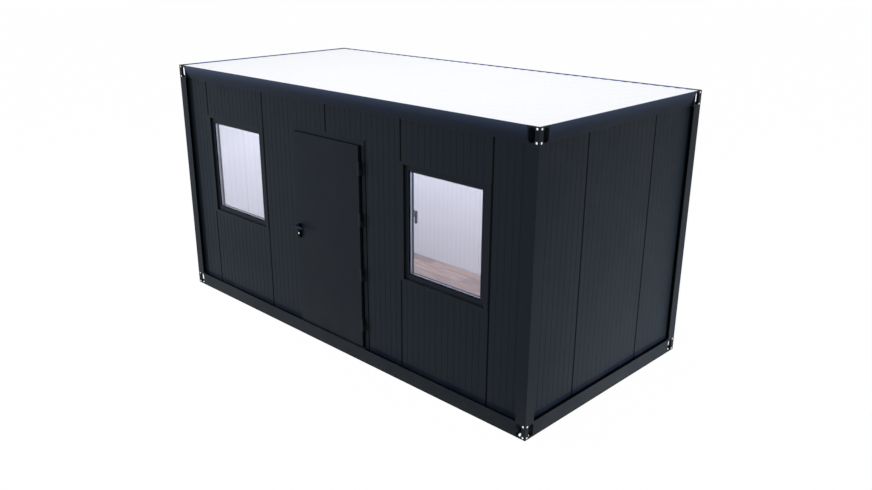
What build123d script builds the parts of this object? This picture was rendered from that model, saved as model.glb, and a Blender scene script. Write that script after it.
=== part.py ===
# Portable site cabin: a welded steel frame with slotted corner fittings, filled with
# grooved sandwich panels, two windows and one outward-opening door on the long front.
# Millimetres, +Z up, length along X, the front faces -Y, origin on the ground at mid plan.
import os

from build123d import *

os.makedirs("parts", exist_ok=True)

# Steel frame
LENGTH = 5000
WIDTH = 2400
HEIGHT = 2600
STEEL = 5
CORNER_SIDE = 120
CORNER_HEIGHT = 140
FITTING_WALL = 8
SLOT_WIDTH = 66
SLOT_LENGTH = 118
SLOT_FROM_EDGE = 76
FOOT_HOLE_RADIUS = 44
BOLT_SEAT_RADIUS = 11
BOLT_SEAT_SIDES = 6
BOLT_SEAT_DEPTH = 4
BOLT_FROM_EDGE = 26
BOLT_FROM_RIM = 18
POST_LEG = 108
BROW_DEPTH = 35
ROOF_SEAT_DROP = 14
JOIST_LEDGE = 40

# Walls
PANEL_RECESS = 40
PANEL_THICKNESS = 80
PANEL_MODULE_SHARE = 0.2122
WINDOW_MODULE_SHARE = 0.2166
PANEL_FOOT = 65
JOINT_GAP = 1
JOINT_WIDTH = 11
JOINT_DEPTH = 16
TONGUE_LENGTH = 10
TONGUE_DEPTH = 44
TONGUE_THICKNESS = 18
GROOVES_PER_MODULE = 14
GROOVE_WIDTH = 6
GROOVE_DEPTH = 3

# Floor and roof
FLOOR_LEVEL = 150
DECK_THICKNESS = 22
DECK_PLAY = 1
JOIST_COUNT = 7
JOIST_WIDTH = 50
JOIST_WALL = 4
ROOF_SHEET = 4
ROOF_PLAY = 1
ROOF_RIB_COUNT = 44
ROOF_RIB_HEIGHT = 2.5
ROOF_RIB_FOOT_SHARE = 0.6
ROOF_RIB_TOP_SHARE = 0.3
CEILING_THICKNESS = 15

# Windows
WINDOW_MARGIN = 45.5
WINDOW_HEIGHT = 1053
WINDOW_HEAD_DROP = 531
WINDOW_SHIFT = 13
CASING_FACE = 22
CASING_LAP = 6
CASING_PROUD = 2
FRAME_SETBACK = 18
FRAME_FACE = 50
FRAME_LIP = 4
FRAME_REBATE = 26
SASH_PLAY = 1
SASH_FACE = 19
SASH_BEAD = 12
SASH_DEPTH = 52
GLASS_THICKNESS = 24
GLASS_PLAY = 1
GRIP_RISE = 84
GRIP_LENGTH = 118
GRIP_WIDTH = 24
GRIP_THICKNESS = 12
GRIP_STANDOFF = 26
ROSE_WIDTH = 30
ROSE_HEIGHT = 70
ROSE_THICKNESS = 10
ROSE_ROUNDING = 4
NECK_RADIUS = 9

# Door
DOOR_LEFT = -470
DOOR_RIGHT = 505
DOOR_HEAD_DROP = 450
JAMB_FACE = 45
JAMB_BODY = 25
JAMB_PROUD = 4
HEAD_FACE = 50
LATCH_GAP = 8
HINGE_GAP = 27
HEAD_GAP = 6
LEAF_FOOT = 146
LEAF_SETBACK = 20
LEAF_THICKNESS = 45
LEAF_EDGE_RADIUS = 2
STOP_GAP = 7
STOP_LAP = 12
SILL_LEVEL = 138
SILL_PLAY = 1
PIN_SETBACK = 10
PIN_RADIUS = 5
PIN_PLAY = 0.08
KNUCKLE_RADIUS = 10
KNUCKLE_GAP = 1
HINGE_LENGTH = 124
HINGE_FLAG = 42
HINGE_PLATE = 4
HINGE_HEIGHT_SHARES = (0.12, 0.38, 0.65, 0.895)

# Door handle and lock
HANDLE_LEVEL = 1192
HANDLE_BACKSET = 29
LOCK_DROP = 80
LOCK_RADIUS = 9
LOCK_PROUD = 4
LOCK_PLAY = 0.25
PLATE_WIDTH = 36
PLATE_HEIGHT = 150
PLATE_RISE = 20
PLATE_THICKNESS = 22
PLATE_BEVEL = 5
INNER_PLATE_WIDTH = 24
INNER_PLATE_THICKNESS = 8
SPINDLE_RADIUS = 4.5
UPRIGHT = 90
BORE_PLAY = 1
LEVER_LENGTH = 128
LEVER_HEIGHT = 24
LEVER_THICKNESS = 12
LEVER_STANDOFF = 66
LEVER_HUB_RADIUS = 15
LEVER_BEVEL = 3

# Places that follow from the sizes above
HALF_LENGTH = LENGTH / 2
HALF_WIDTH = WIDTH / 2
FRONT_SPAN = LENGTH - 2 * CORNER_SIDE
END_SPAN = WIDTH - 2 * CORNER_SIDE
TOP_FOOT = HEIGHT - CORNER_HEIGHT
ROOF_SEAT = HEIGHT - ROOF_SEAT_DROP
PANEL_INNER = PANEL_RECESS + PANEL_THICKNESS
POST_NOSE = PANEL_RECESS + 3 * STEEL
FRONT_WALL_HALF = HALF_LENGTH - PANEL_INNER
END_WALL_HALF = HALF_WIDTH - PANEL_INNER
PANEL_MODULE = 2 * FRONT_WALL_HALF * PANEL_MODULE_SHARE
WINDOW_MODULE = 2 * FRONT_WALL_HALF * WINDOW_MODULE_SHARE
GROOVE_PITCH = PANEL_MODULE / GROOVES_PER_MODULE
JOINT_REBATE = (JOINT_WIDTH - JOINT_GAP) / 2
JOINT_FLOOR = PANEL_RECESS + JOINT_DEPTH
TONGUE_FRONT = PANEL_RECESS + TONGUE_DEPTH
TONGUE_BACK = TONGUE_FRONT + TONGUE_THICKNESS
DECK_FOOT = FLOOR_LEVEL - DECK_THICKNESS
WINDOW_WIDTH = WINDOW_MODULE - 2 * WINDOW_MARGIN
WINDOW_HEAD = HEIGHT - WINDOW_HEAD_DROP
WINDOW_SILL = WINDOW_HEAD - WINDOW_HEIGHT
WINDOW_MIDDLE = (WINDOW_SILL + WINDOW_HEAD) / 2
CASING_FOOT = WINDOW_SILL - CASING_FACE + CASING_LAP
CASING_HEAD = WINDOW_HEAD + CASING_FACE - CASING_LAP
FRAME_DEPTH = PANEL_RECESS + FRAME_SETBACK
SASH_START = FRAME_DEPTH + FRAME_LIP
DOOR_HEAD = HEIGHT - DOOR_HEAD_DROP
DOOR_WALL_LEFT = DOOR_LEFT - JAMB_BODY
DOOR_WALL_RIGHT = DOOR_RIGHT + JAMB_BODY
DOOR_WALL_HEAD = DOOR_HEAD + JAMB_BODY
JAMB_DEPTH = PANEL_RECESS - JAMB_PROUD
LEAF_LEFT = DOOR_LEFT + LATCH_GAP
LEAF_RIGHT = DOOR_RIGHT - HINGE_GAP
LEAF_TOP = DOOR_HEAD - HEAD_GAP
LEAF_BACK = LEAF_SETBACK + LEAF_THICKNESS
STOP_DEPTH = LEAF_BACK + STOP_GAP
PIN_X = (LEAF_RIGHT + DOOR_RIGHT) / 2
HANDLE_X = LEAF_LEFT + HANDLE_BACKSET
LOCK_LEVEL = HANDLE_LEVEL - LOCK_DROP
PLATE_LEVEL = HANDLE_LEVEL + PLATE_RISE - PLATE_HEIGHT / 2

# One plane for each side of the cabin: x runs along the wall, y runs into the cabin
SIDES = {
    "front": Plane(origin=(0, -HALF_WIDTH, 0), x_dir=(1, 0, 0), z_dir=(0, 0, 1)),
    "right": Plane(origin=(HALF_LENGTH, 0, 0), x_dir=(0, 1, 0), z_dir=(0, 0, 1)),
    "back": Plane(origin=(0, HALF_WIDTH, 0), x_dir=(-1, 0, 0), z_dir=(0, 0, 1)),
    "left": Plane(origin=(-HALF_LENGTH, 0, 0), x_dir=(0, -1, 0), z_dir=(0, 0, 1)),
}
SPANS = {"front": FRONT_SPAN, "right": END_SPAN, "back": FRONT_SPAN, "left": END_SPAN}

# One plane for each corner: x and y both run into the cabin along its two faces
CORNERS = {
    "front_left": Plane(origin=(-HALF_LENGTH, -HALF_WIDTH, 0), x_dir=(1, 0, 0), z_dir=(0, 0, 1)),
    "front_right": Plane(origin=(HALF_LENGTH, -HALF_WIDTH, 0), x_dir=(0, 1, 0), z_dir=(0, 0, 1)),
    "back_right": Plane(origin=(HALF_LENGTH, HALF_WIDTH, 0), x_dir=(-1, 0, 0), z_dir=(0, 0, 1)),
    "back_left": Plane(origin=(-HALF_LENGTH, HALF_WIDTH, 0), x_dir=(0, -1, 0), z_dir=(0, 0, 1)),
}

# The front seen from outside: x along the wall, y up; going in is the negative direction
ELEVATION = Plane(origin=(0, -HALF_WIDTH, 0), x_dir=(1, 0, 0), z_dir=(0, -1, 0))


def section_plane(side, start):
    """Cross-section of a beam along one side: x runs into the cabin, y runs up."""
    return Plane(origin=side.from_local_coords((start, 0, 0)), x_dir=side.y_dir, z_dir=side.x_dir)


def bar(x0, y0, x1, y1, mode=Mode.ADD):
    """A rectangle in the current sketch between two opposite corners."""
    with Locations(((x0 + x1) / 2, (y0 + y1) / 2)):
        Rectangle(x1 - x0, y1 - y0, mode=mode)


def finish(builder, label):
    builder.part.label = label
    export_step(builder.part, f"parts/{label}.step")


# Bottom beams: a box under the wall with an upstand in front, so that a deep gutter is left
# between the upstand and the panels; the long ones carry the joists on an inner ledge
for name, side in SIDES.items():
    with BuildPart() as bottom_beam:
        with BuildSketch(section_plane(side, -SPANS[name] / 2)):
            bar(0, 0, CORNER_SIDE, PANEL_FOOT)
            bar(STEEL, STEEL, CORNER_SIDE - STEEL, PANEL_FOOT - STEEL, mode=Mode.SUBTRACT)
            bar(0, 0, STEEL, CORNER_HEIGHT)
            if name in ("front", "back"):
                bar(CORNER_SIDE - STEEL, PANEL_FOOT - STEEL, CORNER_SIDE + JOIST_LEDGE, PANEL_FOOT)
        extrude(amount=SPANS[name])
    finish(bottom_beam, f"bottom_beam_{name}")

# Top beams: a hollow rail whose outer face bows in towards its lower edge and whose lip
# stands above the roof seat
BROW_RADIUS = (CORNER_HEIGHT**2 + BROW_DEPTH**2) / (2 * BROW_DEPTH)
for name, side in SIDES.items():
    rail_plane = section_plane(side, -SPANS[name] / 2)
    with BuildPart() as top_beam:
        with BuildSketch(rail_plane):
            with Locations((BROW_RADIUS, HEIGHT)):
                Circle(BROW_RADIUS)
            with Locations((CORNER_SIDE / 2, HEIGHT - CORNER_HEIGHT / 2)):
                Rectangle(CORNER_SIDE, CORNER_HEIGHT, mode=Mode.INTERSECT)
        extrude(amount=SPANS[name])
        for foot, head, back in (
            (ROOF_SEAT, HEIGHT, CORNER_SIDE),
            (TOP_FOOT + STEEL, ROOF_SEAT - STEEL, CORNER_SIDE - STEEL),
        ):
            with BuildSketch(rail_plane):
                with Locations((BROW_RADIUS, HEIGHT)):
                    Circle(BROW_RADIUS - STEEL)
                with Locations((back / 2, (foot + head) / 2)):
                    Rectangle(back, head - foot, mode=Mode.INTERSECT)
            extrude(amount=SPANS[name], mode=Mode.SUBTRACT)
    finish(top_beam, f"top_beam_{name}")

# Corner posts: two thin outer legs, a nose tube in the corner and a core tube in line with
# the panels, with an open channel left behind each leg
for name, corner in CORNERS.items():
    with BuildPart() as post:
        with BuildSketch(corner.offset(CORNER_HEIGHT)):
            bar(0, 0, POST_NOSE, POST_NOSE)
            bar(PANEL_RECESS, PANEL_RECESS, PANEL_INNER, PANEL_INNER)
            bar(STEEL, STEEL, POST_NOSE - STEEL, POST_NOSE - STEEL, mode=Mode.SUBTRACT)
            bar(
                PANEL_RECESS + STEEL,
                PANEL_RECESS + STEEL,
                PANEL_INNER - STEEL,
                PANEL_INNER - STEEL,
                mode=Mode.SUBTRACT,
            )
            bar(0, 0, POST_LEG, STEEL)
            bar(0, 0, STEEL, POST_LEG)
        extrude(amount=TOP_FOOT - CORNER_HEIGHT)
    finish(post, f"post_{name}")


def fitting_cuts():
    """A slot through each outer face of a corner fitting, and two hexagon bolt seats beside it."""
    for slot_origin, seat_origin, outward in (
        ((SLOT_FROM_EDGE, 0, 0), (BOLT_FROM_EDGE, 0, 0), (0, -1, 0)),
        ((0, SLOT_FROM_EDGE, 0), (0, BOLT_FROM_EDGE, 0), (-1, 0, 0)),
    ):
        with BuildSketch(Plane(origin=slot_origin, x_dir=(0, 0, 1), z_dir=outward)) as slot:
            with Locations((CORNER_HEIGHT / 2, 0)):
                SlotOverall(SLOT_LENGTH, SLOT_WIDTH)
        extrude(slot.sketch, amount=-FITTING_WALL, mode=Mode.SUBTRACT)
        with BuildSketch(Plane(origin=seat_origin, x_dir=(0, 0, 1), z_dir=outward)) as seats:
            with Locations((BOLT_FROM_RIM, 0), (CORNER_HEIGHT - BOLT_FROM_RIM, 0)):
                RegularPolygon(BOLT_SEAT_RADIUS, BOLT_SEAT_SIDES)
        extrude(seats.sketch, amount=-BOLT_SEAT_DEPTH, mode=Mode.SUBTRACT)


# Bottom corner fittings: hollow boxes with a slot in each outer face and a hole underneath
with BuildPart() as foot_fitting:
    with BuildSketch():
        bar(0, 0, CORNER_SIDE, CORNER_SIDE)
    extrude(amount=CORNER_HEIGHT)
    with BuildSketch(Plane.XY.offset(FITTING_WALL)):
        bar(FITTING_WALL, FITTING_WALL, CORNER_SIDE - FITTING_WALL, CORNER_SIDE - FITTING_WALL)
    extrude(amount=CORNER_HEIGHT - 2 * FITTING_WALL, mode=Mode.SUBTRACT)
    fitting_cuts()
    with BuildSketch():
        with Locations((CORNER_SIDE / 2, CORNER_SIDE / 2)):
            Circle(FOOT_HOLE_RADIUS)
    extrude(amount=FITTING_WALL, mode=Mode.SUBTRACT)

with BuildPart() as bottom_corner_fittings:
    for corner in CORNERS.values():
        with Locations(corner.location):
            add(foot_fitting.part)
finish(bottom_corner_fittings, "bottom_corner_fittings")

# Top corner fittings: two slotted outer plates up to the rim, lower inner plates and a foot
# plate on the post; the roof sheet closes them above
with BuildPart() as head_fitting:
    with BuildSketch():
        bar(0, 0, CORNER_SIDE, CORNER_SIDE)
    extrude(amount=CORNER_HEIGHT - ROOF_SEAT_DROP)
    with BuildSketch():
        bar(0, 0, CORNER_SIDE, FITTING_WALL)
        bar(0, 0, FITTING_WALL, CORNER_SIDE)
    extrude(amount=CORNER_HEIGHT)
    with BuildSketch(Plane.XY.offset(FITTING_WALL)):
        bar(FITTING_WALL, FITTING_WALL, CORNER_SIDE - FITTING_WALL, CORNER_SIDE - FITTING_WALL)
    extrude(amount=CORNER_HEIGHT, mode=Mode.SUBTRACT)
    fitting_cuts()

with BuildPart() as top_corner_fittings:
    for corner in CORNERS.values():
        with Locations(corner.offset(TOP_FOOT).location):
            add(head_fitting.part)
finish(top_corner_fittings, "top_corner_fittings")


def edge_line(kind):
    """Edge of a panel from its inner to its outer face, as (way into the panel, depth) points."""
    if kind == "square":
        return [(0, PANEL_INNER), (0, PANEL_RECESS)]
    reach = TONGUE_LENGTH if kind == "groove" else -TONGUE_LENGTH
    back = TONGUE_BACK if kind == "groove" else TONGUE_BACK - JOINT_GAP
    front = TONGUE_FRONT if kind == "groove" else TONGUE_FRONT + JOINT_GAP
    key = [(0, back), (reach, back), (reach, front), (0, front)]
    rebate = [(0, JOINT_FLOOR), (JOINT_REBATE, JOINT_FLOOR), (JOINT_REBATE, PANEL_RECESS)]
    return [(0, PANEL_INNER), *key, *rebate]


def wall_panel(side, start, end, foot, head, module_start, edges):
    """One sandwich panel with upright grooves; each edge is square, grooved or tongued."""
    left = start if edges[0] == "square" else start + JOINT_GAP / 2
    right = end if edges[1] == "square" else end - JOINT_GAP / 2
    outline = [(left + way, depth) for way, depth in edge_line(edges[0])]
    for count in range(GROOVES_PER_MODULE):
        groove = module_start + count * GROOVE_PITCH
        if left + JOINT_WIDTH + GROOVE_WIDTH < groove < right - JOINT_WIDTH - GROOVE_WIDTH:
            outline += [(groove - GROOVE_WIDTH / 2, PANEL_RECESS)]
            outline += [(groove, PANEL_RECESS + GROOVE_DEPTH)]
            outline += [(groove + GROOVE_WIDTH / 2, PANEL_RECESS)]
    outline += [(right - way, depth) for way, depth in reversed(edge_line(edges[1]))]
    with BuildSketch(SIDES[side].offset(foot)) as profile:
        with BuildLine():
            Polyline(*outline, close=True)
        make_face()
    extrude(profile.sketch, amount=head - foot)


# Blank walls: whole panels between the posts, cut narrower at both ends
WINDOW_END = PANEL_MODULE + WINDOW_MODULE
LONG_JOINTS = [-WINDOW_END, -PANEL_MODULE, 0, PANEL_MODULE, WINDOW_END]
END_JOINTS = [-PANEL_MODULE / 2, PANEL_MODULE / 2]
BLANK_WALLS = {
    "back": ("back_wall_panels", [-FRONT_WALL_HALF, *LONG_JOINTS, FRONT_WALL_HALF]),
    "left": ("left_end_panels", [-END_WALL_HALF, *END_JOINTS, END_WALL_HALF]),
    "right": ("right_end_panels", [-END_WALL_HALF, *END_JOINTS, END_WALL_HALF]),
}
for side, (label, edges) in BLANK_WALLS.items():
    with BuildPart() as blank_wall:
        for start, end in zip(edges, edges[1:]):
            first = start == edges[0]
            last = end == edges[-1]
            module = end - PANEL_MODULE if first else start
            kinds = ("square" if first else "groove", "square" if last else "tongue")
            wall_panel(side, start, end, PANEL_FOOT, TOP_FOOT, module, kinds)
    finish(blank_wall, label)

# Front wall: a window fills the second and the fifth module, the door the middle
with BuildPart() as front_end_panels:
    for start, end in ((-FRONT_WALL_HALF, LONG_JOINTS[0]), (LONG_JOINTS[-1], FRONT_WALL_HALF)):
        first = start < 0
        module = end - PANEL_MODULE if first else start
        kinds = ("square", "groove") if first else ("groove", "square")
        wall_panel("front", start, end, PANEL_FOOT, TOP_FOOT, module, kinds)
finish(front_end_panels, "front_end_panels")

with BuildPart() as door_side_panels:
    for start, end, module, kinds in (
        (-PANEL_MODULE, DOOR_WALL_LEFT, -PANEL_MODULE, ("groove", "square")),
        (DOOR_WALL_RIGHT, PANEL_MODULE, 0, ("square", "groove")),
    ):
        wall_panel("front", start, end, PANEL_FOOT, TOP_FOOT, module, kinds)
finish(door_side_panels, "door_side_panels")

with BuildPart() as door_header_panels:
    for start, end, module, kinds in (
        (DOOR_WALL_LEFT, 0, -PANEL_MODULE, ("square", "tongue")),
        (0, DOOR_WALL_RIGHT, 0, ("groove", "square")),
    ):
        wall_panel("front", start, end, DOOR_WALL_HEAD, TOP_FOOT, module, kinds)
finish(door_header_panels, "door_header_panels")

WINDOW_MODULES = {"left": -WINDOW_END, "right": PANEL_MODULE}
with BuildPart() as window_apron_panels:
    for start in WINDOW_MODULES.values():
        end = start + WINDOW_MODULE
        wall_panel("front", start, end, PANEL_FOOT, CASING_FOOT, start, ("tongue", "tongue"))
finish(window_apron_panels, "window_apron_panels")

with BuildPart() as window_header_panels:
    for start in WINDOW_MODULES.values():
        end = start + WINDOW_MODULE
        wall_panel("front", start, end, CASING_HEAD, TOP_FOOT, start, ("tongue", "tongue"))
finish(window_header_panels, "window_header_panels")


def window_ring(middle, depth, thickness, outside, inside):
    """A rectangular ring round the window opening; both sizes are the growth beyond it."""
    with BuildSketch(ELEVATION.offset(-depth)) as ring:
        with Locations((middle, WINDOW_MIDDLE)):
            Rectangle(WINDOW_WIDTH + 2 * outside, WINDOW_HEIGHT + 2 * outside)
            Rectangle(WINDOW_WIDTH + 2 * inside, WINDOW_HEIGHT + 2 * inside, mode=Mode.SUBTRACT)
    extrude(ring.sketch, amount=-thickness)


# Windows: a casing that fills the module, with a thin flange lapping the joint nearer the left end,
# a rebated frame in the casing, a sash in the rebate and a sealed glass unit against the sash bead
SASH_OUTSIDE = -FRAME_REBATE - SASH_PLAY
SASH_INSIDE = SASH_OUTSIDE - SASH_FACE
BEAD_INSIDE = SASH_INSIDE - SASH_BEAD
GLASS_START = SASH_START + GLASS_PLAY * 2
BEAD_START = GLASS_START + GLASS_THICKNESS
for name, module in WINDOW_MODULES.items():
    middle = module + WINDOW_MODULE / 2 - WINDOW_SHIFT
    with BuildPart() as casing:
        with BuildSketch(ELEVATION.offset(CASING_PROUD - PANEL_RECESS)):
            with Locations((middle, WINDOW_MIDDLE)):
                Rectangle(WINDOW_MODULE, WINDOW_HEIGHT + 2 * CASING_FACE)
                Rectangle(WINDOW_WIDTH, WINDOW_HEIGHT, mode=Mode.SUBTRACT)
        extrude(amount=-CASING_PROUD)
        for depth, thickness, reach in (
            (PANEL_RECESS, PANEL_THICKNESS, -JOINT_GAP / 2),
            (TONGUE_FRONT + JOINT_GAP, TONGUE_THICKNESS - 2 * JOINT_GAP, TONGUE_LENGTH - JOINT_GAP / 2),
        ):
            with BuildSketch(ELEVATION.offset(-depth)):
                bar(module - reach, CASING_FOOT, module + WINDOW_MODULE + reach, CASING_HEAD)
                with Locations((middle, WINDOW_MIDDLE)):
                    Rectangle(WINDOW_WIDTH, WINDOW_HEIGHT, mode=Mode.SUBTRACT)
            extrude(amount=-thickness)
    finish(casing, f"window_{name}_casing")

    with BuildPart() as frame:
        window_ring(middle, FRAME_DEPTH, FRAME_LIP, 0, -FRAME_FACE)
        window_ring(middle, SASH_START, PANEL_INNER - SASH_START, 0, -FRAME_REBATE)
    finish(frame, f"window_{name}_frame")

    with BuildPart() as sash:
        window_ring(middle, SASH_START, BEAD_START - SASH_START, SASH_OUTSIDE, SASH_INSIDE)
        window_ring(
            middle, BEAD_START, SASH_START + SASH_DEPTH - BEAD_START, SASH_OUTSIDE, BEAD_INSIDE
        )
    finish(sash, f"window_{name}_sash")

    with BuildPart() as glass:
        with BuildSketch(ELEVATION.offset(-GLASS_START)):
            with Locations((middle, WINDOW_MIDDLE)):
                Rectangle(
                    WINDOW_WIDTH + 2 * (SASH_INSIDE - GLASS_PLAY),
                    WINDOW_HEIGHT + 2 * (SASH_INSIDE - GLASS_PLAY),
                )
        extrude(amount=-GLASS_THICKNESS)
    finish(glass, f"window_{name}_glass")

# Window handles on the inner stile nearer the door, grips hanging down
with BuildPart() as window_handles:
    for name, module in WINDOW_MODULES.items():
        towards_door = 1 if name == "left" else -1
        stile = WINDOW_WIDTH / 2 + (SASH_OUTSIDE + BEAD_INSIDE) / 2
        handle_x = module + WINDOW_MODULE / 2 - WINDOW_SHIFT + towards_door * stile
        rose_depth = SASH_START + SASH_DEPTH
        grip_depth = rose_depth + ROSE_THICKNESS + GRIP_STANDOFF
        with BuildSketch(ELEVATION.offset(-rose_depth)):
            with Locations((handle_x, WINDOW_MIDDLE + GRIP_RISE)):
                RectangleRounded(ROSE_WIDTH, ROSE_HEIGHT, ROSE_ROUNDING)
        extrude(amount=-ROSE_THICKNESS)
        with BuildSketch(ELEVATION.offset(-rose_depth - ROSE_THICKNESS)):
            with Locations((handle_x, WINDOW_MIDDLE + GRIP_RISE)):
                Circle(NECK_RADIUS)
        extrude(amount=-GRIP_STANDOFF)
        with BuildSketch(ELEVATION.offset(-grip_depth)):
            with Locations((handle_x, WINDOW_MIDDLE + GRIP_RISE - (GRIP_LENGTH - GRIP_WIDTH) / 2)):
                SlotOverall(GRIP_LENGTH, GRIP_WIDTH, rotation=UPRIGHT)
        extrude(amount=-GRIP_THICKNESS)
finish(window_handles, "window_handles")

# Door frame: each jamb is a face strip over the panel edge, a body in the wall and a stop
# behind the leaf; the hinge side leaves a wide gap for the knuckles
JAMBS = {
    "latch": (DOOR_LEFT, -1, LEAF_LEFT + STOP_LAP),
    "hinge": (DOOR_RIGHT, 1, LEAF_RIGHT - STOP_LAP),
}
for name, (edge, away, stop_edge) in JAMBS.items():
    strip_edge = edge + away * JAMB_FACE
    body_edge = edge + away * JAMB_BODY
    with BuildPart() as jamb:
        with BuildSketch(SIDES["front"].offset(PANEL_FOOT)):
            bar(min(edge, strip_edge), JAMB_DEPTH, max(edge, strip_edge), PANEL_RECESS)
            bar(min(edge, body_edge), JAMB_DEPTH, max(edge, body_edge), PANEL_INNER)
            bar(min(stop_edge, edge), STOP_DEPTH, max(stop_edge, edge), PANEL_INNER)
        extrude(amount=DOOR_HEAD - PANEL_FOOT)
    finish(jamb, f"door_jamb_{name}_side")

with BuildPart() as door_head:
    with BuildSketch(section_plane(SIDES["front"], DOOR_LEFT - JAMB_FACE)):
        bar(JAMB_DEPTH, DOOR_HEAD, PANEL_RECESS, DOOR_HEAD + HEAD_FACE)
    extrude(amount=DOOR_RIGHT - DOOR_LEFT + 2 * JAMB_FACE)
    with BuildSketch(section_plane(SIDES["front"], DOOR_WALL_LEFT)):
        bar(JAMB_DEPTH, DOOR_HEAD, PANEL_INNER, DOOR_WALL_HEAD)
    extrude(amount=DOOR_WALL_RIGHT - DOOR_WALL_LEFT)
    with BuildSketch(section_plane(SIDES["front"], LEAF_LEFT + STOP_LAP)):
        bar(STOP_DEPTH, LEAF_TOP - STOP_LAP, PANEL_INNER, DOOR_HEAD)
    extrude(amount=LEAF_RIGHT - LEAF_LEFT - 2 * STOP_LAP)
finish(door_head, "door_head")

with BuildPart() as door_sill:
    with BuildSketch(SIDES["front"].offset(PANEL_FOOT)):
        bar(DOOR_LEFT, STEEL + SILL_PLAY, DOOR_RIGHT, STOP_DEPTH)
        bar(LEAF_LEFT + STOP_LAP, STOP_DEPTH, LEAF_RIGHT - STOP_LAP, PANEL_INNER)
    extrude(amount=SILL_LEVEL - PANEL_FOOT)
    with BuildSketch(SIDES["front"].offset(SILL_LEVEL)):
        bar(LEAF_LEFT + STOP_LAP, STOP_DEPTH, LEAF_RIGHT - STOP_LAP, PANEL_INNER)
    extrude(amount=FLOOR_LEVEL - SILL_LEVEL)
finish(door_sill, "door_sill")

# Door leaf: a plain slab, bored for the spindle and the lock
with BuildPart() as door_leaf:
    with BuildSketch(ELEVATION.offset(-LEAF_SETBACK)):
        bar(LEAF_LEFT, LEAF_FOOT, LEAF_RIGHT, LEAF_TOP)
    extrude(amount=-LEAF_THICKNESS)
    outer_face = door_leaf.faces().sort_by(Axis.Y)[0]
    fillet(outer_face.edges(), LEAF_EDGE_RADIUS)
    with BuildSketch(ELEVATION.offset(-LEAF_SETBACK)):
        with Locations((HANDLE_X, HANDLE_LEVEL)):
            Circle(SPINDLE_RADIUS + BORE_PLAY)
        with Locations((HANDLE_X, LOCK_LEVEL)):
            Circle(LOCK_RADIUS + LOCK_PLAY)
    extrude(amount=-LEAF_THICKNESS, mode=Mode.SUBTRACT)
finish(door_leaf, "door_leaf")

# Four pin hinges in the gap: the lower half with its pin is fixed to the edge of the jamb, the
# upper half to the edge of the leaf
HINGE_LEVELS = [LEAF_FOOT + share * (LEAF_TOP - LEAF_FOOT) for share in HINGE_HEIGHT_SHARES]
HALF_KNUCKLE = (HINGE_LENGTH - KNUCKLE_GAP) / 2
FLAG_END = PIN_SETBACK + HINGE_FLAG
with BuildPart() as jamb_hinge_halves:
    for level in HINGE_LEVELS:
        with BuildSketch(SIDES["front"].offset(level - HINGE_LENGTH / 2)):
            with Locations((PIN_X, PIN_SETBACK)):
                Circle(KNUCKLE_RADIUS)
            bar(PIN_X, PIN_SETBACK, DOOR_RIGHT, PIN_SETBACK + HINGE_PLATE)
            bar(DOOR_RIGHT - HINGE_PLATE, PIN_SETBACK, DOOR_RIGHT, FLAG_END)
        extrude(amount=HALF_KNUCKLE)
        with BuildSketch(SIDES["front"].offset(level - KNUCKLE_GAP / 2)):
            with Locations((PIN_X, PIN_SETBACK)):
                Circle(PIN_RADIUS)
        extrude(amount=HALF_KNUCKLE)
finish(jamb_hinge_halves, "jamb_hinge_halves")

with BuildPart() as leaf_hinge_halves:
    for level in HINGE_LEVELS:
        with BuildSketch(SIDES["front"].offset(level + KNUCKLE_GAP / 2)):
            with Locations((PIN_X, PIN_SETBACK)):
                Circle(KNUCKLE_RADIUS)
            bar(LEAF_RIGHT, PIN_SETBACK, PIN_X, PIN_SETBACK + HINGE_PLATE)
            bar(LEAF_RIGHT, PIN_SETBACK, LEAF_RIGHT + HINGE_PLATE, FLAG_END)
            with Locations((PIN_X, PIN_SETBACK)):
                Circle(PIN_RADIUS + PIN_PLAY, mode=Mode.SUBTRACT)
        extrude(amount=HALF_KNUCKLE)
finish(leaf_hinge_halves, "leaf_hinge_halves")

# Handle plates: a thick bevelled guard outside and a thin plate inside, both bored for the lever
# necks and the lock cylinder
GUARD_FRONT = LEAF_SETBACK - PLATE_THICKNESS
with BuildPart() as handle_plates:
    with BuildSketch(ELEVATION.offset(-GUARD_FRONT)):
        with Locations((HANDLE_X, PLATE_LEVEL)):
            SlotOverall(PLATE_HEIGHT, PLATE_WIDTH, rotation=UPRIGHT)
    extrude(amount=-PLATE_THICKNESS)
    guard_rim = handle_plates.faces().sort_by(Axis.Y)[0].edges()
    chamfer(guard_rim, PLATE_BEVEL)
    with BuildSketch(ELEVATION.offset(-LEAF_BACK)):
        with Locations((HANDLE_X, PLATE_LEVEL)):
            SlotOverall(PLATE_HEIGHT, INNER_PLATE_WIDTH, rotation=UPRIGHT)
    extrude(amount=-INNER_PLATE_THICKNESS)
    with BuildSketch(ELEVATION.offset(-GUARD_FRONT)):
        with Locations((HANDLE_X, HANDLE_LEVEL)):
            Circle(NECK_RADIUS + BORE_PLAY)
        with Locations((HANDLE_X, LOCK_LEVEL)):
            Circle(LOCK_RADIUS + LOCK_PLAY)
    extrude(amount=GUARD_FRONT - LEAF_BACK - INNER_PLATE_THICKNESS, mode=Mode.SUBTRACT)
finish(handle_plates, "handle_plates")

LOCK_START = GUARD_FRONT - LOCK_PROUD
LOCK_END = LEAF_BACK + INNER_PLATE_THICKNESS + LOCK_PROUD
with BuildPart() as lock_cylinder:
    with BuildSketch(ELEVATION.offset(-LOCK_START)):
        with Locations((HANDLE_X, LOCK_LEVEL)):
            Circle(LOCK_RADIUS)
    extrude(amount=LOCK_START - LOCK_END)
finish(lock_cylinder, "lock_cylinder")

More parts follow.
